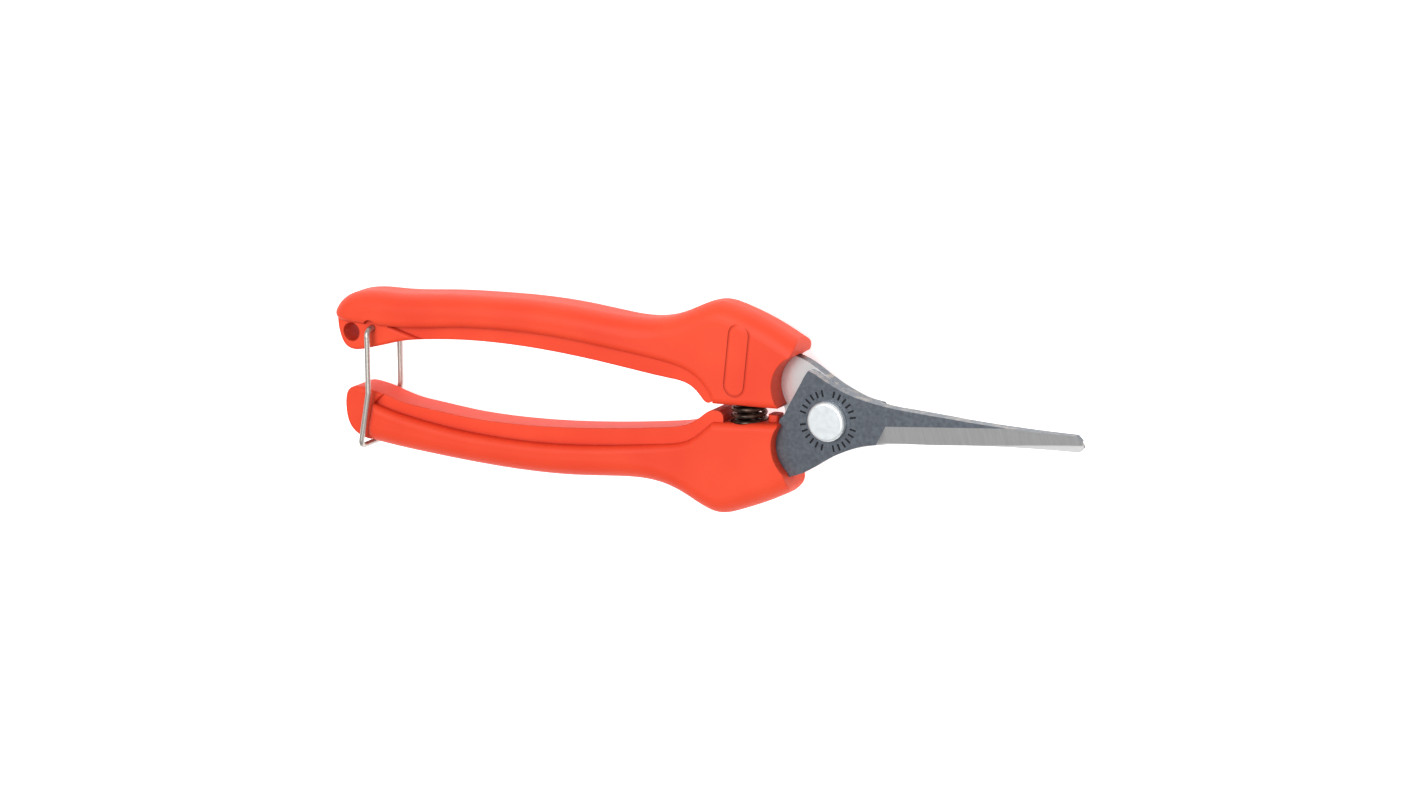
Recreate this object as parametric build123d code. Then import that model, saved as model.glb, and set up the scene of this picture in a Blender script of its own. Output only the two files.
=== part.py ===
from build123d import *
import math
import os

os.makedirs("parts", exist_ok=True)

# Floral snips, closed and latched, lying flat. All sizes in millimetres.
# The working frame has its origin on the pivot axis, midway between the two blades:
# +X runs to the blade tips, +Y to the handle with the lanyard hole, +Z to the rivet head.
# One half of the tool is drawn on the +Y side. The other is that half turned over about X.
# The last step moves everything so that the origin is at the middle of the underside.

# ---- overall sizes ----
blade_length = 60.3  # pivot axis to tip
head_length = 27.0  # pivot axis to the crown of the handle head
grip_length = 91.0  # crown of the head to the start of the butt
blade_tilt = 2.0  # degrees between the two blades' mirror images, so the points cross

# ---- handle mouldings ----
grip_half_depth = 6.5  # half the thickness of the round grip bead
head_half_depth = 5.3  # half the thickness of the flat head
rib_half_depth = 3.8  # half the thickness of the thin inner rib
butt_half_depth = 4.7  # half the thickness of the butt plates
butt_round = 0.9  # easing round the butt plates
outer_round = 4.2  # rounding of the outer edges
inner_round = 1.6  # rounding where the bead drops to the rib
heel_seat_radius = 7.9  # round cut-out in the head that bares the blade heel
heel_seat_x = -5.0
heel_seat_y = 6.8
upper_stop_y = 1.6  # closing stop of the upper handle, off the middle
lower_stop_y = 0.4

# ---- blades ----
blade_thickness = 2.6
blade_gap = 0.1  # each blade stands half of this off the shear plane
bevel_width = 4.2  # width of the ground facet where it is full
edge_land = 0.25  # thickness left at the cutting edge

# ---- pivot ----
rivet_radius = 3.0
rivet_head_radius = 4.55
rivet_head_height = 1.5
rivet_fit = 0.05  # radial running clearance in the front blade
washer_radius = 4.8
washer_thickness = 0.8

# ---- return spring ----
spring_x = -20.8
spring_mean_radius = 3.5
spring_wire_radius = 0.6
spring_turns = 11
pocket_clearance = 0.35
pocket_floor = 9.0  # distance of each pocket floor from the middle plane

# ---- clasp ----
clasp_wire_radius = 0.65
clasp_fit = 0.06  # radial clearance of the wire ends in their holes
clasp_half_width = 7.25  # middle plane to the centre of each leg
clasp_bend = 1.7
clasp_clearance = 0.3  # under the lower butt
clasp_hole_inset = 1.4  # the holes stop this far from the middle plane
lanyard_radius = 2.2

# ---- sunk marks ----
mark_depth = 0.2
tick_count = 28
tick_group = 7  # one tick in each group is left out
tick_radius = 6.3


def station(share, y):
    """A point of the grip outline, at a share of the way from the head's crown to the butt."""
    return (-head_length - share * grip_length, y)


# ---- plan outlines of one half, drawn on the +Y side ----
grip_back = [
    station(0.93, 18.3),
    station(0.80, 19.2),
    station(0.67, 19.9),
    station(0.55, 20.2),
    station(0.42, 19.9),
    station(0.30, 19.0),
    station(0.20, 18.8),
    station(0.14, 19.8),
    station(0.09, 21.6),
    station(0.04, 23.7),
    station(0.0, 24.5),
]
step_line = [
    station(0.84, 11.2),
    station(0.75, 12.2),
    station(0.62, 12.9),
    station(0.50, 12.9),
    station(0.38, 12.2),
    station(0.27, 11.1),
    station(0.15, 9.6),
    station(0.08, 8.0),
    station(0.035, 5.0),
]
rib_edge = [
    station(0.84, 8.2),
    station(0.75, 9.0),
    station(0.62, 9.4),
    station(0.50, 9.1),
    station(0.38, 8.3),
    station(0.25, 7.0),
]
butt_x = -head_length - grip_length  # the butts are drawn from here
head_lip_x = heel_seat_x - heel_seat_radius + 1.0
pocket_radius = spring_mean_radius + spring_wire_radius + pocket_clearance


def prism(edges, half_depth):
    """A flat body, evenly about the middle plane, from a closed run of edges."""
    face = make_face(Wire(edges)).face()
    if face.normal_at().Z < 0:
        face = -face
    return extrude(Plane.XY.offset(-half_depth) * face, 2 * half_depth)


def rim_edges(body, low_depth, test):
    """Edges of the two broad faces whose middle passes the test."""
    rims = []
    for edge in body.edges():
        middle = edge.position_at(0.5)
        if abs(middle.Z) > low_depth and abs((edge % 0.5).Z) < 0.3 and test(middle.X, middle.Y):
            rims.append(edge)
    return rims


def depth_envelope():
    """The side view: flat over the head, easing out to the full depth of the grip."""
    knee = (-head_length - 0.12 * grip_length, head_half_depth)
    top = Spline(
        knee,
        (-head_length - 0.30 * grip_length, grip_half_depth - 0.35),
        (-head_length - 0.50 * grip_length, grip_half_depth),
        (butt_x + 2, grip_half_depth - 0.1),
        (butt_x - 14, grip_half_depth - 0.5),
        tangents=((-1, 0), (-1, 0)),
    )
    flat = Line((2, head_half_depth), knee)
    end = top @ 1
    sides = [Line(end, (end.X, 0)), Line((end.X, 0), (2, 0)), Line((2, 0), (2, head_half_depth))]
    upper = make_face(Wire([flat, top] + sides))
    half = extrude(Plane.XZ * upper, -40)
    return half + mirror(half, Plane.XY)


def bead_and_head(back_end, bead_butt, shoulder, nose, head_foot):
    """The round bead of the grip running into the flat head.

    back_end closes the back into the butt, and bead_butt leads from there to the step line.
    shoulder carries the back on over the head, nose is its rounded front end, and head_foot
    holds the two heights of the head's foot: over the step line and at the lip.
    """
    back = Spline(*back_end, *grip_back, *shoulder)
    step = Spline(*bead_butt, *step_line, station(0.012, head_foot[0]))
    front_x = shoulder[-1][0]
    head_lip = (head_lip_x, head_foot[1])
    outline = [
        back,
        Line(shoulder[-1], (front_x, 9.0)),
        Line((front_x, 9.0), head_lip),
        Line(head_lip, step @ 1),
        step,
    ]
    if (step @ 0 - back @ 0).length > 0.01:
        outline.append(Line(step @ 0, back @ 0))
    body = (prism(outline, 12) & depth_envelope()).solid()
    low = head_half_depth - 1.2
    outer = rim_edges(body, low, lambda x, y: y > 14.5 or x < butt_x - 6)
    body = fillet(outer, outer_round)
    inner = rim_edges(body, low, lambda x, y: y < 14.0 and x < head_lip_x - 3)
    body = fillet(inner, inner_round)
    around = [nose[-1], (nose[-1][0], 5), (10, 5), (10, 30), (nose[0][0], 30), nose[0]]
    return body - prism([Spline(*nose), *Polyline(*around).edges()], 20)


def web(butt_points, tail, crest_y, half_depth):
    """The web inside the bead, from the butt round to the closing stop beside the spring."""
    crest = (-head_length - 1.4, crest_y)
    edge = Spline(*butt_points, *rib_edge, *tail, crest)
    pocket_side = spring_x - pocket_radius - 0.3
    corners = [
        crest,
        (pocket_side - 1.3, crest_y),
        (pocket_side - 0.6, crest_y + 0.3),
        (pocket_side - 0.1, crest_y + 0.9),
        (pocket_side, crest_y + 1.6),
        (pocket_side, 8.0),
        station(0.12, 13.0),
        station(0.55, 16.3),
        station(0.98, 14.5),
        butt_points[0],
    ]
    return prism([edge, *Polyline(*corners).edges()], half_depth)


def butt_plate(butt_points, tail, crest_y, half_depth, edge_from, edge_to):
    """The thicker end of the web. It stops at a slanting line, given by its two ends."""
    beyond = [edge_from, edge_to, (edge_to[0], -20), (40, -20), (40, 40), (edge_from[0], 40)]
    cut = make_face(Polyline(*beyond, close=True))
    plate = web(butt_points, tail, crest_y, half_depth) - extrude(cut, 20, both=True)
    return fillet(rim_edges(plate, half_depth - 0.1, on_butt_rim), butt_round)


def on_butt_rim(x, y):
    return y < 9.6 or x < butt_x - 4


def moulded_half(bead, inner_web, plate):
    """One complete moulding on the +Y side, without its tang slot."""
    body = bead + inner_web + plate
    body -= Pos(heel_seat_x, heel_seat_y, 0) * Cylinder(heel_seat_radius, 40)
    pocket = Cylinder(pocket_radius, 2 * pocket_floor)
    return (body - Pos(spring_x, 0, 0) * Rot(90, 0, 0) * pocket).solid()


def blade():
    """The front blade with its tang, lying above the shear plane with its edge on the -Y side."""
    reach = blade_length / 60.0
    edge = Spline(
        (59.6 * reach, 0.7),
        (41.0 * reach, -1.4),
        (29.0 * reach, -2.8),
        (17.0 * reach, -3.8),
        (8.2 * reach, -4.9),
        (4.0, -6.6),
        (-0.2, -8.9),
        (-5.5, -12.3),
        (-7.7, -13.3),
    )
    spine = Spline(
        (-4.0, 10.6),
        (0.4, 8.4),
        (5.4, 6.4),
        (10.4, 5.3),
        (15.4 * reach, 4.6),
        (23.0 * reach, 4.1),
        (37.6 * reach, 3.35),
        (47.0 * reach, 3.1),
        (58.9 * reach, 3.05),
    )
    tang_top = -pocket_floor - 1.2
    corners = [
        (-7.7, -13.3),
        (-20.0, -17.2),
        (-46.0, -15.2),
        (-46.0, tang_top - 1.2),
        (-16.4, tang_top),
        (-13.2, -6.4),
        (-11.9, -0.8),
        (-11.1, -0.1),
        (-8.8, 4.2),
        (-6.8, 7.8),
        (-6.1, 9.2),
        (-5.0, 10.9),
        (-4.0, 10.6),
    ]
    tip = [spine @ 1, (blade_length, 2.0), (blade_length - 0.1, 1.2), edge @ 0]
    outline = [edge, *Polyline(*corners).edges(), spine, *Polyline(*tip).edges()]
    face = make_face(Wire(outline)).face()
    if face.normal_at().Z < 0:
        face = -face
    body = extrude(Pos(0, 0, blade_gap / 2) * face, blade_thickness)
    # the ground facet climbs from the cutting edge to the outer face
    run = Vector(48 * reach, 4.7, 0).normalized()
    climb = Vector(-run.Y, run.X, 0) * bevel_width + Vector(0, 0, blade_thickness - edge_land)
    heel = Vector(12.2 * reach, -4.1, blade_gap / 2 + edge_land)
    plane = Plane(origin=heel, x_dir=run, z_dir=run.cross(climb))
    stone = make_face(plane * Polyline((-3.4, -3), (70, -3), (70, 12), (7.4, 12), close=True))
    body -= extrude(stone, 8, dir=plane.z_dir)
    return body


def bent_wire(points, radius, bend):
    """Round wire through the points, each inner corner turned on an arc of the given radius."""
    points = [Vector(*p) for p in points]
    edges = []
    start = points[0]
    for before, corner, after in zip(points, points[1:], points[2:]):
        back = (before - corner).normalized()
        on = (after - corner).normalized()
        half = math.acos(max(-1, min(1, back.dot(on)))) / 2
        reach = bend / math.tan(half)
        middle = corner + (back + on).normalized() * (bend / math.sin(half) - bend)
        edges.append(Line(start, corner + back * reach))
        edges.append(ThreePointArc(corner + back * reach, middle, corner + on * reach))
        start = corner + on * reach
    edges.append(Line(start, points[-1]))
    path = Wire(edges)
    section = Plane(origin=path @ 0, z_dir=path % 0) * Circle(radius)
    return sweep(section, path=path)


# ---- butts: the upper carries the lanyard hole and the clasp, the lower is plain ----
clasp_x = butt_x + 0.9
clasp_y = 9.7
upper_corner = (butt_x - 10.4, 10.8)
upper_back = [
    upper_corner,
    (butt_x - 9.6, 13.6),
    (butt_x - 7.2, 16.2),
    (butt_x - 3.6, 17.7),
]
upper_bead = [upper_corner, (butt_x - 6.0, 10.6), (butt_x + 6.0, 10.6)]
upper_plate = [
    (butt_x - 8.9, 12.4),
    (butt_x - 8.8, 9.3),
    (butt_x - 8.1, 6.7),
    (butt_x - 7.3, 5.2),
    (butt_x - 6.0, 4.2),
    (butt_x - 4.2, 3.9),
    (butt_x - 2.2, 4.2),
    (butt_x, 4.8),
    (butt_x + 2.5, 5.5),
    (butt_x + 8.0, 7.1),
]
lower_back = [(butt_x - 1.2, 17.5)]
lower_bead = [(butt_x + 1.0, 8.3), (butt_x + 5.6, 9.6)]
lower_plate = [
    (butt_x - 0.4, 17.3),
    (butt_x - 2.3, 17.0),
    (butt_x - 4.3, 16.1),
    (butt_x - 5.8, 14.7),
    (butt_x - 6.7, 12.8),
    (butt_x - 7.1, 10.5),
    (butt_x - 7.1, 8.0),
    (butt_x - 6.3, 5.8),
    (butt_x - 4.5, 4.9),
    (butt_x - 2.0, 5.0),
    (butt_x + 1.2, 5.6),
    (butt_x + 8.0, 7.4),
]

# ---- heads: each has its own shoulder, nose and foot, and its own end to the web ----
upper_shoulder = [(-22.5, 23.7), (-14.5, 20.9), (-6.0, 16.7)]
upper_nose = [(-9.8, 19.6), (-8.4, 18.2), (-7.6, 16.9), (-7.7, 15.6), (-8.7, 13.4)]
upper_foot = (1.2, 1.75)
upper_tail = [
    station(0.14, 5.9),
    station(0.08, 4.9),
    station(0.05, 2.8),
    station(0.03, 1.2),
]
lower_shoulder = [(-22.5, 23.4), (-14.5, 20.1), (-6.0, 15.9)]
lower_nose = [(-11.3, 19.3), (-9.9, 17.7), (-9.1, 16.4), (-9.2, 15.1), (-10.0, 12.8)]
lower_foot = (3.1, 1.8)
lower_tail = [
    station(0.14, 5.6),
    station(0.08, 4.2),
    station(0.045, 2.1),
    station(0.03, 1.0),
]


def turned_over(body):
    return Rot(180, 0, 0) * body


front_blade = blade()
rear_blade = Rot(0, 0, blade_tilt) * turned_over(front_blade)

# pivot: the rivet is tight in the rear blade and turns in the front one
front_blade -= Cylinder(rivet_radius + rivet_fit, 30)
rear_blade -= Cylinder(rivet_radius, 30)
outer_face = blade_gap / 2 + blade_thickness

# plain sunk ticks round the rivet on the front blade
for tick in range(tick_count):
    mark = Pos(tick_radius, 0, outer_face) * Box(1.5, 0.45, 2 * mark_depth)
    if tick % tick_group:
        front_blade -= Rot(0, 0, 360 * tick / tick_count) * mark
head = Cylinder(rivet_head_radius, rivet_head_height, align=(Align.CENTER, Align.CENTER, Align.MIN))
head = fillet(head.edges().filter_by(GeomType.CIRCLE).sort_by(Axis.Z)[-1], 0.7)
shank_low = -outer_face - washer_thickness
peen = Cylinder(rivet_radius + 0.9, 0.9, align=(Align.CENTER, Align.CENTER, Align.MAX))
peen = fillet(peen.edges().filter_by(GeomType.CIRCLE).sort_by(Axis.Z)[0], 0.5)
shank = Cylinder(rivet_radius, outer_face + 0.1 - shank_low, align=(Align.CENTER, Align.CENTER, Align.MIN))
pivot_rivet = Pos(0, 0, shank_low) * shank
pivot_rivet += Pos(0, 0, outer_face + 0.1) * head
pivot_rivet += Pos(0, 0, shank_low) * peen
washer = Cylinder(washer_radius, washer_thickness) - Cylinder(rivet_radius, 10)
rivet_washer = Pos(0, 0, -outer_face - washer_thickness / 2) * washer

# handles
upper_head = bead_and_head(upper_back, upper_bead, upper_shoulder, upper_nose, upper_foot)
upper_web = web(upper_plate, upper_tail, upper_stop_y, rib_half_depth)
cut_from = (butt_x + 5, 10.6)
cut_to = (butt_x + 16, 7.6)
plate = butt_plate(upper_plate, upper_tail, upper_stop_y, butt_half_depth, cut_from, cut_to)
upper_handle = moulded_half(upper_head, upper_web, plate)

lower_head = bead_and_head(lower_back, lower_bead, lower_shoulder, lower_nose, lower_foot)
lower_web = web(lower_plate, lower_tail, lower_stop_y, rib_half_depth)
cut_from = (butt_x + 1.0, 8.3)
cut_to = (butt_x + 3.8, 5.4)
cap = butt_plate(lower_plate, lower_tail, lower_stop_y, butt_half_depth, cut_from, cut_to)
lower_half = moulded_half(lower_head, lower_web, cap)

# a low wall on the tip side of the spring, on the lower handle only
wall_x = spring_x + pocket_radius + 0.9
wall = Box(2.6, 4, 3.6, align=(Align.MIN, Align.MIN, Align.CENTER))
lower_half += Pos(wall_x, lower_stop_y, 0) * fillet(wall.edges().filter_by(Axis.Y), 0.8)
lower_handle = turned_over(lower_half)

# a plain oval outline sunk in the face of the upper head
badge = SlotOverall(17, 5.4) - SlotOverall(16.2, 4.6)
badge_at = Pos(-21.5, 12.0, head_half_depth - mark_depth) * Rot(0, 0, 84)
upper_handle -= extrude(badge_at * badge, 2)
upper_handle -= rear_blade
lower_handle -= front_blade

# lanyard hole, then a round recess and a blind hole on each side for the clasp ends
lanyard_at = (butt_x - 4.9, 8.2)
upper_handle -= Pos(*lanyard_at, 0) * Cylinder(lanyard_radius, 40)
hole_radius = clasp_wire_radius + clasp_fit
for side in (1, -1):
    recess = Pos(clasp_x, clasp_y, side * (butt_half_depth + 5)) * Cylinder(2.1, 10)
    hole = Pos(clasp_x, clasp_y, side * (clasp_hole_inset + 5)) * Cylinder(hole_radius, 10)
    upper_handle -= recess
    upper_handle -= hole

# return spring between the two pocket floors
spring_span = 2 * (pocket_floor - spring_wire_radius - 0.02)
coil = Helix(spring_span / spring_turns, spring_span, spring_mean_radius)
wire = Plane(origin=coil @ 0, z_dir=coil % 0) * Circle(spring_wire_radius)
return_spring = sweep(wire, path=coil, is_frenet=True)
return_spring = Pos(spring_x, spring_span / 2, 0) * Rot(90, 0, 0) * return_spring

# clasp: in from one hole, down each leg past the knee, across under the lower butt
bar_x = butt_x - 1.3
bar_y = -17.5 - clasp_clearance - clasp_wire_radius
inner_end = clasp_hole_inset + 0.4
legs = [
    (clasp_x, clasp_y, inner_end),
    (clasp_x, clasp_y, clasp_half_width),
    (clasp_x + 0.1, -5.5, clasp_half_width),
    (bar_x, bar_y, clasp_half_width),
]
path = legs + [(x, y, -z) for x, y, z in reversed(legs)]
wire_clasp = bent_wire(path, clasp_wire_radius, clasp_bend)

nodes = {
    "upper_handle": upper_handle,
    "lower_handle": lower_handle,
    "front_blade": front_blade,
    "rear_blade": rear_blade,
    "pivot_rivet": pivot_rivet,
    "rivet_washer": rivet_washer,
    "return_spring": return_spring,
    "wire_clasp": wire_clasp,
}

# origin to the middle of the underside
box = Compound(children=[Compound(body.solids()) for body in nodes.values()]).bounding_box()
shift = Pos(-box.center().X, -box.center().Y, -box.min.Z)
for name, body in nodes.items():
    export_step(Compound([shift * solid for solid in body.solids()]), "parts/" + name + ".step")
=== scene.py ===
# %% [markdown]
# # Floral snips
# Long-nosed snips for picking flowers and thinning fruit. Two dark steel blades turn on one
# plated rivet, two orange mouldings make the handles, a coil spring pushes them apart and a
# wire clasp holds them shut. The measured solids come in first, as a fixed frame. Everything
# that is added later takes its place from them, so nothing has to be fitted by eye.

# %% Load the frame
import bpy
import math
from mathutils import Matrix, Vector


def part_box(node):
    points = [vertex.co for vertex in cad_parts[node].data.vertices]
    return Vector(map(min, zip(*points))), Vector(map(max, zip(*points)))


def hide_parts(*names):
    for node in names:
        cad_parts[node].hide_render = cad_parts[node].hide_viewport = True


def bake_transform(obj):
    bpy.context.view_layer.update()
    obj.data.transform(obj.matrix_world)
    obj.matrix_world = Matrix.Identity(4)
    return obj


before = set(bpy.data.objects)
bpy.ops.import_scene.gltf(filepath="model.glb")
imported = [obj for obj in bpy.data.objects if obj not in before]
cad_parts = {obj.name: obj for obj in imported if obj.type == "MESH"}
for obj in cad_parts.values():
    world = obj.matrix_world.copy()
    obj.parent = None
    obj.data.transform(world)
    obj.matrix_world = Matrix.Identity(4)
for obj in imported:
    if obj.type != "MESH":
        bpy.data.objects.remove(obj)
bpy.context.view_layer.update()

MM = 0.001
print("nodes:", sorted(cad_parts))

# %% [markdown]
# The rivet stands on the pivot axis, so its box gives the pivot in X and Y. The middle plane,
# where the two blades slide on each other, is halfway between the two blades' own boxes.

# %% Find the pivot and the middle plane
rivet_low, rivet_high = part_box("pivot_rivet")
front_low, front_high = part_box("front_blade")
rear_low, rear_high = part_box("rear_blade")
pivot_x = (rivet_low[0] + rivet_high[0]) / 2
pivot_y = (rivet_low[1] + rivet_high[1]) / 2
middle_z = (front_low[2] + rear_high[2]) / 2
pivot = Vector((pivot_x, pivot_y, middle_z))
print("pivot in mm:", [round(v / MM, 2) for v in pivot])


def from_pivot(x, y, z):
    """A place given in millimetres from the pivot."""
    return pivot + Vector((x, y, z)) * MM


# %% [markdown]
# ## Two small helpers
# Colours are picked as hex values, as a colour picker shows them. A shader wants light
# amounts instead, so one function turns a hex value to linear. The other helper adds a node,
# sets its values and plugs in its links, which keeps each material short enough to read.

# %% Colour and node helpers
def colour(hex_value):
    """A hex colour as linear red, green, blue and alpha."""
    parts = [int(hex_value[i : i + 2], 16) / 255 for i in (1, 3, 5)]
    return [p / 12.92 if p <= 0.04045 else ((p + 0.055) / 1.055) ** 2.4 for p in parts] + [1.0]


def add_node(tree, kind, settings=None, **sockets):
    """Adds a node. Settings are its own options, sockets are values or links by name."""
    node = tree.nodes.new(kind)
    for name, value in (settings or {}).items():
        setattr(node, name, value)
    for name, value in sockets.items():
        socket = node.inputs[int(name[1:]) if name[1:].isdigit() else name.replace("_", " ")]
        if isinstance(value, bpy.types.NodeSocket):
            tree.links.new(value, socket)
        else:
            socket.default_value = value
    return node


def new_material(name):
    """An empty material with its output and its shader, ready for a pattern."""
    material = bpy.data.materials.new(name)
    material.use_nodes = True
    tree = material.node_tree
    tree.nodes.clear()
    shader = tree.nodes.new("ShaderNodeBsdfPrincipled")
    output = tree.nodes.new("ShaderNodeOutputMaterial")
    tree.links.new(shader.outputs["BSDF"], output.inputs["Surface"])
    place = tree.nodes.new("ShaderNodeTexCoord").outputs["Object"]
    return material, tree, shader, place


def per_metre(size_mm):
    """The texture scale at which one pattern cell is this many millimetres."""
    return 1.0 / (size_mm * MM)


def dress(node_name, *materials):
    """Gives a frame node its finished material."""
    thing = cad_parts[node_name]
    thing.data.materials.clear()
    for material in materials:
        thing.data.materials.append(material)


print("orange in linear light:", [round(v, 3) for v in colour("#E44727")])

# %% [markdown]
# ## Handle moulding
# The handles are glass-filled nylon, injection moulded in a spark-eroded mould, which leaves
# a fine even grain. The colour goes all through. Light catches the grain as a soft sheen, not
# a sharp highlight, so roughness is near 0.55 and a very low bump breaks it up. The pigment
# is slightly cloudy over some 20 mm. The real grain of about 0.15 mm is too fine to show, so
# it is drawn at 0.35 mm. Corners, creases and gaps between parts are painted a deeper red as
# painted shade: the Ambient Occlusion node finds them, within 4 mm. Last, the Bevel node rounds
# the shading of the moulding's crisp rims by 0.4 mm, as a real mould's rims are rounded.

# %% Moulded nylon
nylon, tree, shader, place = new_material("Moulded_nylon_orange")
cloud = add_node(tree, "ShaderNodeTexNoise", Vector=place, Scale=per_metre(22), Detail=2.0)
ramp = add_node(tree, "ShaderNodeValToRGB", Fac=cloud.outputs["Fac"])
ramp.color_ramp.elements[0].position = 0.35
ramp.color_ramp.elements[1].position = 0.65
ramp.color_ramp.elements[0].color = colour("#DC3C1F")
ramp.color_ramp.elements[1].color = colour("#E44727")
# painted shade: corners, creases and gaps between parts are darkened towards a deep red, found by
# Ambient Occlusion within 4 mm
hollow = add_node(tree, "ShaderNodeAmbientOcclusion", {"samples": 8}, Distance=4.0 * MM)
painted_shade_amount = add_node(
    tree,
    "ShaderNodeMapRange",
    Value=hollow.outputs["AO"],
    From_Min=0.25,
    From_Max=0.8,
    To_Min=0.85,
    To_Max=0.0,
)
shaded_nylon_colour = add_node(
    tree,
    "ShaderNodeMix",
    {"data_type": "RGBA"},
    Factor=painted_shade_amount.outputs["Result"],
    _6=ramp.outputs["Color"],
    _7=colour("#A61C0C"),
)
tree.links.new(shaded_nylon_colour.outputs[2], shader.inputs["Base Color"])
soft_rim = add_node(tree, "ShaderNodeBevel", {"samples": 4}, Radius=0.4 * MM)
grain = add_node(tree, "ShaderNodeTexNoise", Vector=place, Scale=per_metre(0.35), Detail=3.0)
bump = add_node(
    tree,
    "ShaderNodeBump",
    Height=grain.outputs["Fac"],
    Strength=0.12,
    Distance=0.05 * MM,
    Normal=soft_rim.outputs["Normal"],
)
tree.links.new(bump.outputs["Normal"], shader.inputs["Normal"])
sheen_map = add_node(
    tree,
    "ShaderNodeMapRange",
    Value=cloud.outputs["Fac"],
    To_Min=0.52,
    To_Max=0.60,
)
tree.links.new(sheen_map.outputs["Result"], shader.inputs["Roughness"])
shader.inputs["IOR"].default_value = 1.53
shader.inputs["Specular IOR Level"].default_value = 0.3
shader.inputs["Subsurface Weight"].default_value = 0.04
shader.inputs["Subsurface Radius"].default_value = (0.002, 0.0006, 0.0004)
for name in ("upper_handle", "lower_handle"):
    dress(name, nylon)
print("handles dressed in", nylon.name)

# %% [markdown]
# ## Blade steel
# The blades are forged and tempered, then tumbled, which leaves a dark blue-grey skin with a
# fine mottle. The cutting facets are ground bright afterwards, and the inner faces are ground
# flat. One material does both: the surface's own direction tells a ground facet, which leans
# over, from the flat outer skin. Grinding runs across the edge, so its lines are stretched.
# The narrow side walls rub in the sheath: there the skin is worn through to bright steel in
# patches of about 2 mm. The sunk ticks round the rivet are filled with black.

# %% Tempered and ground steel
def blade_steel(name, bright_side, outer_z):
    """Dark skin on the outer face, whose height is outer_z. Bright where it is ground."""
    steel, tree, shader, place = new_material(name)
    mottle = add_node(tree, "ShaderNodeTexNoise", Vector=place, Scale=per_metre(0.9), Detail=6.0)
    skin = add_node(tree, "ShaderNodeValToRGB", Fac=mottle.outputs["Fac"])
    skin.color_ramp.elements[0].position = 0.30
    skin.color_ramp.elements[1].position = 0.72
    skin.color_ramp.elements[0].color = colour("#585D65")
    skin.color_ramp.elements[1].color = colour("#6C727A")
    stretch = add_node(
        tree,
        "ShaderNodeMapping",
        Vector=place,
        Scale=(per_metre(0.30), per_metre(6.0), per_metre(6.0)),
    )
    lines = add_node(tree, "ShaderNodeTexNoise", Vector=stretch.outputs["Vector"], Scale=1.0)
    ground = add_node(tree, "ShaderNodeValToRGB", Fac=lines.outputs["Fac"])
    ground.color_ramp.elements[0].color = colour("#B9B9BA")
    ground.color_ramp.elements[1].color = colour("#D4D4D5")
    facing = add_node(
        tree,
        "ShaderNodeSeparateXYZ",
        Vector=tree.nodes.new("ShaderNodeNewGeometry").outputs["True Normal"],
    )
    lean = add_node(
        tree,
        "ShaderNodeMath",
        {"operation": "MULTIPLY"},
        _0=facing.outputs["Z"],
        _1=bright_side,
    )
    # flat outer face: -1, side walls: 0, ground facet: about -0.85, ground inner face: +1
    inner = add_node(
        tree, "ShaderNodeMath", {"operation": "GREATER_THAN"}, _0=lean.outputs[0], _1=0.5
    )
    low = add_node(
        tree, "ShaderNodeMath", {"operation": "GREATER_THAN"}, _0=lean.outputs[0], _1=-0.97
    )
    high = add_node(tree, "ShaderNodeMath", {"operation": "LESS_THAN"}, _0=lean.outputs[0], _1=-0.5)
    facet = add_node(
        tree, "ShaderNodeMath", {"operation": "MULTIPLY"}, _0=low.outputs[0], _1=high.outputs[0]
    )
    bright = add_node(
        tree, "ShaderNodeMath", {"operation": "MAXIMUM"}, _0=inner.outputs[0], _1=facet.outputs[0]
    )
    # worn patches on the side walls, where the surface stands upright
    upright = add_node(
        tree, "ShaderNodeMath", {"operation": "COMPARE"}, _0=lean.outputs[0], _1=0.0, _2=0.3
    )
    rubbing = add_node(tree, "ShaderNodeTexNoise", Vector=place, Scale=per_metre(2.0), Detail=4.0)
    patches = add_node(
        tree, "ShaderNodeMapRange", Value=rubbing.outputs["Fac"], From_Min=0.50, From_Max=0.64
    )
    wear = add_node(
        tree,
        "ShaderNodeMath",
        {"operation": "MULTIPLY"},
        _0=upright.outputs[0],
        _1=patches.outputs["Result"],
    )
    worn_skin = add_node(
        tree,
        "ShaderNodeMix",
        {"data_type": "RGBA"},
        Factor=wear.outputs[0],
        _6=skin.outputs["Color"],
        _7=colour("#8C8681"),
    )
    # black filling: near the rivet, and sunk below the outer face
    spot = add_node(tree, "ShaderNodeSeparateXYZ", Vector=place)
    from_axis = add_node(
        tree,
        "ShaderNodeVectorMath",
        {"operation": "DISTANCE"},
        _0=place,
        _1=(pivot_x, pivot_y, outer_z),
    )
    near = add_node(
        tree,
        "ShaderNodeMath",
        {"operation": "LESS_THAN"},
        _0=from_axis.outputs["Value"],
        _1=7.4 * MM,
    )
    depth = add_node(
        tree, "ShaderNodeMath", {"operation": "SUBTRACT"}, _0=spot.outputs["Z"], _1=outer_z
    )
    below = add_node(
        tree, "ShaderNodeMath", {"operation": "MULTIPLY"}, _0=depth.outputs[0], _1=bright_side
    )
    sunk = add_node(
        tree,
        "ShaderNodeMath",
        {"operation": "COMPARE"},
        _0=below.outputs[0],
        _1=0.11 * MM,
        _2=0.095 * MM,
    )
    filled = add_node(
        tree, "ShaderNodeMath", {"operation": "MULTIPLY"}, _0=near.outputs[0], _1=sunk.outputs[0]
    )
    marked_skin = add_node(
        tree,
        "ShaderNodeMix",
        {"data_type": "RGBA"},
        Factor=filled.outputs[0],
        _6=worn_skin.outputs[2],
        _7=colour("#2B2D31"),
    )
    ground_or_skin = add_node(
        tree,
        "ShaderNodeMix",
        {"data_type": "RGBA"},
        Factor=bright.outputs[0],
        _6=marked_skin.outputs[2],
        _7=ground.outputs["Color"],
    )
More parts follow.
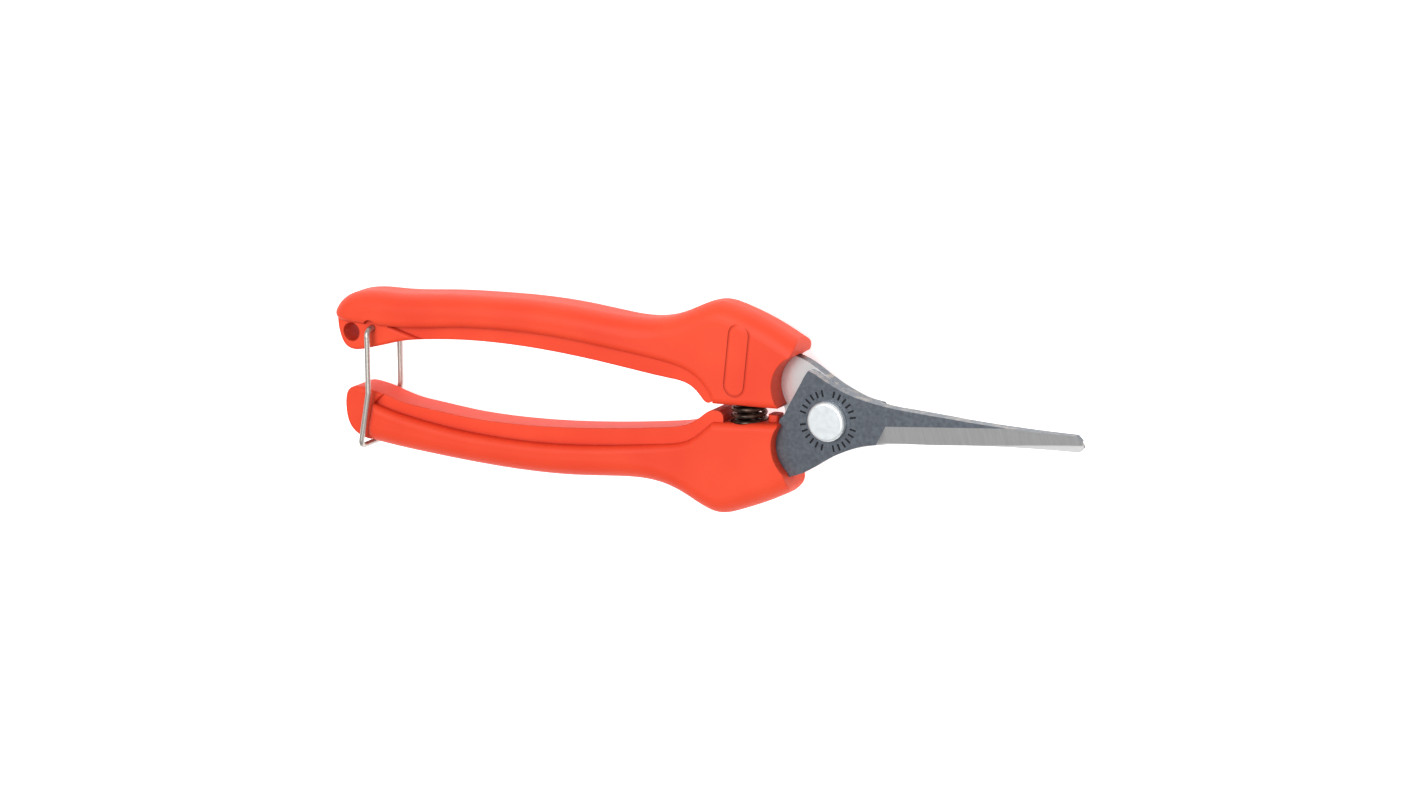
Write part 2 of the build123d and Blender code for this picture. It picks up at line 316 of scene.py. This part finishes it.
    # the inner face is lapped on a flat stone, brighter than the facet
    mix = add_node(
        tree,
        "ShaderNodeMix",
        {"data_type": "RGBA"},
        Factor=inner.outputs[0],
        _6=ground_or_skin.outputs[2],
        _7=colour("#E0DFDF"),
    )
    tree.links.new(mix.outputs[2], shader.inputs["Base Color"])
    rough = add_node(
        tree, "ShaderNodeMapRange", Value=bright.outputs[0], To_Min=0.42, To_Max=0.34
    )
    tree.links.new(rough.outputs["Result"], shader.inputs["Roughness"])
    bump = add_node(
        tree,
        "ShaderNodeBump",
        Height=mottle.outputs["Fac"],
        Strength=0.25,
        Distance=0.06 * MM,
    )
    tree.links.new(bump.outputs["Normal"], shader.inputs["Normal"])
    shader.inputs["Metallic"].default_value = 0.85
    return steel


dress("front_blade", blade_steel("Tempered_steel_front", -1.0, front_high[2]))
dress("rear_blade", blade_steel("Tempered_steel_rear", 1.0, rear_low[2]))
print("blades dressed")

# %% [markdown]
# ## Rivet and washer
# The rivet is bright zinc plated: a cool near-white metal with a faint crystal mottle. Its
# head has been pressed, so it is smooth, and its highlight is broad rather than a mirror.

# %% Zinc plate
zinc, tree, shader, place = new_material("Bright_zinc_plate")
crystal = add_node(tree, "ShaderNodeTexNoise", Vector=place, Scale=per_metre(1.2), Detail=4.0)
plate = add_node(tree, "ShaderNodeValToRGB", Fac=crystal.outputs["Fac"])
plate.color_ramp.elements[0].color = colour("#DFE6E9")
plate.color_ramp.elements[1].color = colour("#F2F6F7")
tree.links.new(plate.outputs["Color"], shader.inputs["Base Color"])
dull = add_node(tree, "ShaderNodeMapRange", Value=crystal.outputs["Fac"], To_Min=0.30, To_Max=0.42)
tree.links.new(dull.outputs["Result"], shader.inputs["Roughness"])
shader.inputs["Metallic"].default_value = 0.7
for name in ("pivot_rivet", "rivet_washer"):
    dress(name, zinc)
print("rivet and washer dressed")

# %% [markdown]
# ## Clasp wire
# Drawn stainless wire of 1.3 mm. Drawing leaves faint lines along the wire. The clasp bends
# round, so an even fine noise stands for them; it gives the same soft grey gleam.

# %% Drawn stainless wire
stainless, tree, shader, place = new_material("Drawn_stainless_wire")
draw_marks = add_node(tree, "ShaderNodeTexNoise", Vector=place, Scale=per_metre(0.5), Detail=3.0)
grey = add_node(tree, "ShaderNodeValToRGB", Fac=draw_marks.outputs["Fac"])
grey.color_ramp.elements[0].color = colour("#A39E97")
grey.color_ramp.elements[1].color = colour("#C6C1BB")
tree.links.new(grey.outputs["Color"], shader.inputs["Base Color"])
shader.inputs["Metallic"].default_value = 0.8
shader.inputs["Roughness"].default_value = 0.36
dress("wire_clasp", stainless)
print("clasp dressed in", stainless.name)

# %% [markdown]
# ## Return spring
# A real spring stretches when the handles open, which one stiff solid can't do. Here the coil
# is made again as a fine tube, in the place of the spring solid, which is then hidden. The
# coil is a circle of wire, moved out to the coil's radius and turned up a helix with the Screw
# modifier, which is then applied. Eleven turns of 1.2 mm wire stand about 0.3 mm apart when
# the snips are shut.

# %% Model the coil
spring_low, spring_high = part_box("return_spring")
spring_centre = (spring_low + spring_high) / 2
wire_radius = 0.6 * MM
wire_sides = 12
steps_per_turn = 36
coil_radius = (spring_high[0] - spring_low[0]) / 2 - wire_radius
coil_length = spring_high[1] - spring_low[1] - 2 * wire_radius
turns = 11


def nothing_selected():
    """Operators act on all that is selected, so each new piece starts from nothing."""
    if bpy.context.object and bpy.context.object.mode != "OBJECT":
        bpy.ops.object.mode_set(mode="OBJECT")
    bpy.ops.object.select_all(action="DESELECT")


nothing_selected()
bpy.ops.mesh.primitive_circle_add(
    vertices=wire_sides,
    radius=wire_radius,
    location=(coil_radius, 0, 0),
    rotation=(math.pi / 2, 0, 0),
)
coil = bpy.context.object
coil.name = "return_spring_coil"
bpy.ops.object.transform_apply(location=True, rotation=True, scale=True)
screw = coil.modifiers.new("Screw", "SCREW")
screw.axis = "Z"
screw.angle = turns * math.tau
screw.screw_offset = coil_length
screw.steps = screw.render_steps = turns * steps_per_turn
screw.use_merge_vertices = False
bpy.ops.object.modifier_apply(modifier=screw.name)
print("coil rings:", len(coil.data.vertices) // wire_sides)

# %% Close the wire ends and lay the coil along Y
bpy.ops.object.mode_set(mode="EDIT")
bpy.ops.mesh.select_all(action="DESELECT")
bpy.ops.mesh.select_mode(type="EDGE")
bpy.ops.mesh.select_non_manifold()
bpy.ops.mesh.edge_face_add()
bpy.ops.mesh.select_all(action="SELECT")
bpy.ops.mesh.normals_make_consistent(inside=False)
bpy.ops.object.mode_set(mode="OBJECT")
coil.data.transform(
    Matrix.Translation(spring_centre)
    @ Matrix.Rotation(math.radians(90), 4, "X")
    @ Matrix.Translation((0, 0, -coil_length / 2))
)
bpy.ops.object.shade_smooth()
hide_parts("return_spring")
print("coil box in mm:", [round(v / MM, 2) for v in coil.dimensions])

# %% [markdown]
# The wire is oil-blackened: nearly black, a little brown, with a gleam where the oil film
# has worn. The worn patches are about 2 mm, and a ramp keeps them few.

# %% Oil-blackened spring wire
black, tree, shader, place = new_material("Oil_blackened_spring_wire")
worn = add_node(tree, "ShaderNodeTexNoise", Vector=place, Scale=per_metre(2.0), Detail=4.0)
film = add_node(tree, "ShaderNodeValToRGB", Fac=worn.outputs["Fac"])
film.color_ramp.elements[0].position = 0.40
film.color_ramp.elements[1].position = 0.75
film.color_ramp.elements[0].color = colour("#2E231E")
film.color_ramp.elements[1].color = colour("#6E5648")
tree.links.new(film.outputs["Color"], shader.inputs["Base Color"])
shader.inputs["Metallic"].default_value = 0.75
shader.inputs["Roughness"].default_value = 0.32
coil.data.materials.append(black)
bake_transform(coil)

# %% [markdown]
# ## Floor, light and camera
# The snips lie on a plain white table, which glows a little so that shadows stay faint and
# little orange light bounces back. Two large soft lights hang above it, a stronger one
# towards the upper handle and a weaker one towards the tips. The lens is long, about 112 mm,
# so the far end of the handles looks hardly smaller than the near end.

# %% Floor and world
nothing_selected()
bpy.ops.mesh.primitive_plane_add(size=6.0, location=(0, 0, -0.0005))
floor = bpy.context.object
floor.name = "floor"
paper, tree, shader, place = new_material("White_table")
shader.inputs["Base Color"].default_value = colour("#F4F4F4")
shader.inputs["Roughness"].default_value = 0.9
shader.inputs["Emission Color"].default_value = (1, 1, 1, 1)
shader.inputs["Emission Strength"].default_value = 0.7
floor.data.materials.append(paper)

scene = bpy.context.scene
world = scene.world or bpy.data.worlds.new("World")
scene.world = world
world.use_nodes = True
background = world.node_tree.nodes["Background"]
background.inputs["Color"].default_value = (1, 1, 1, 1)
background.inputs["Strength"].default_value = 0.42
scene.view_settings.view_transform = "Standard"
print("floor at", floor.location.z)


# %% Lights
def soft_light(name, place, aim, size, power):
    """A square area light at a place, turned to face a point."""
    data = bpy.data.lights.new(name, "AREA")
    data.size = size
    data.energy = power
    lamp = bpy.data.objects.new(name, data)
    scene.collection.objects.link(lamp)
    lamp.location = place
    lamp.rotation_euler = (Vector(aim) - Vector(place)).to_track_quat("-Z", "Y").to_euler()
    return lamp


soft_light("key", (-0.10, 0.28, 0.92), (0, 0, 0), 0.5, 6.6)
soft_light("fill", (0.35, -0.1, 0.95), (0, 0, 0), 0.6, 3.0)

# %% [markdown]
# The camera looks down on the flat snips from the pivot side. Its three directions are worked
# out from two angles: how far it stands round to the tips, and how far it stands over.

# %% Camera
round_by = math.radians(27.5)
over_by = math.radians(13.4)
across = Vector((math.cos(round_by), 0, -math.sin(round_by)))
back = Vector(
    (
        math.sin(round_by) * math.cos(over_by),
        math.sin(over_by),
        math.cos(round_by) * math.cos(over_by),
    )
)
upward = back.cross(across)
camera_data = bpy.data.cameras.new("camera")
camera = bpy.data.objects.new("camera", camera_data)
scene.collection.objects.link(camera)
camera_data.sensor_width = 36.0
camera_data.lens = 112.2
camera_data.shift_x = 0.0031
camera_data.shift_y = 0.0030
turn = Matrix((across, upward, back)).transposed().to_4x4()
camera.matrix_world = Matrix.Translation(from_pivot(-32, 0, 0) + back * 1.0) @ turn
camera_data.clip_start = 0.05
camera_data.clip_end = 20.0
scene.camera = camera
print("camera at", [round(v, 3) for v in camera.matrix_world.translation])
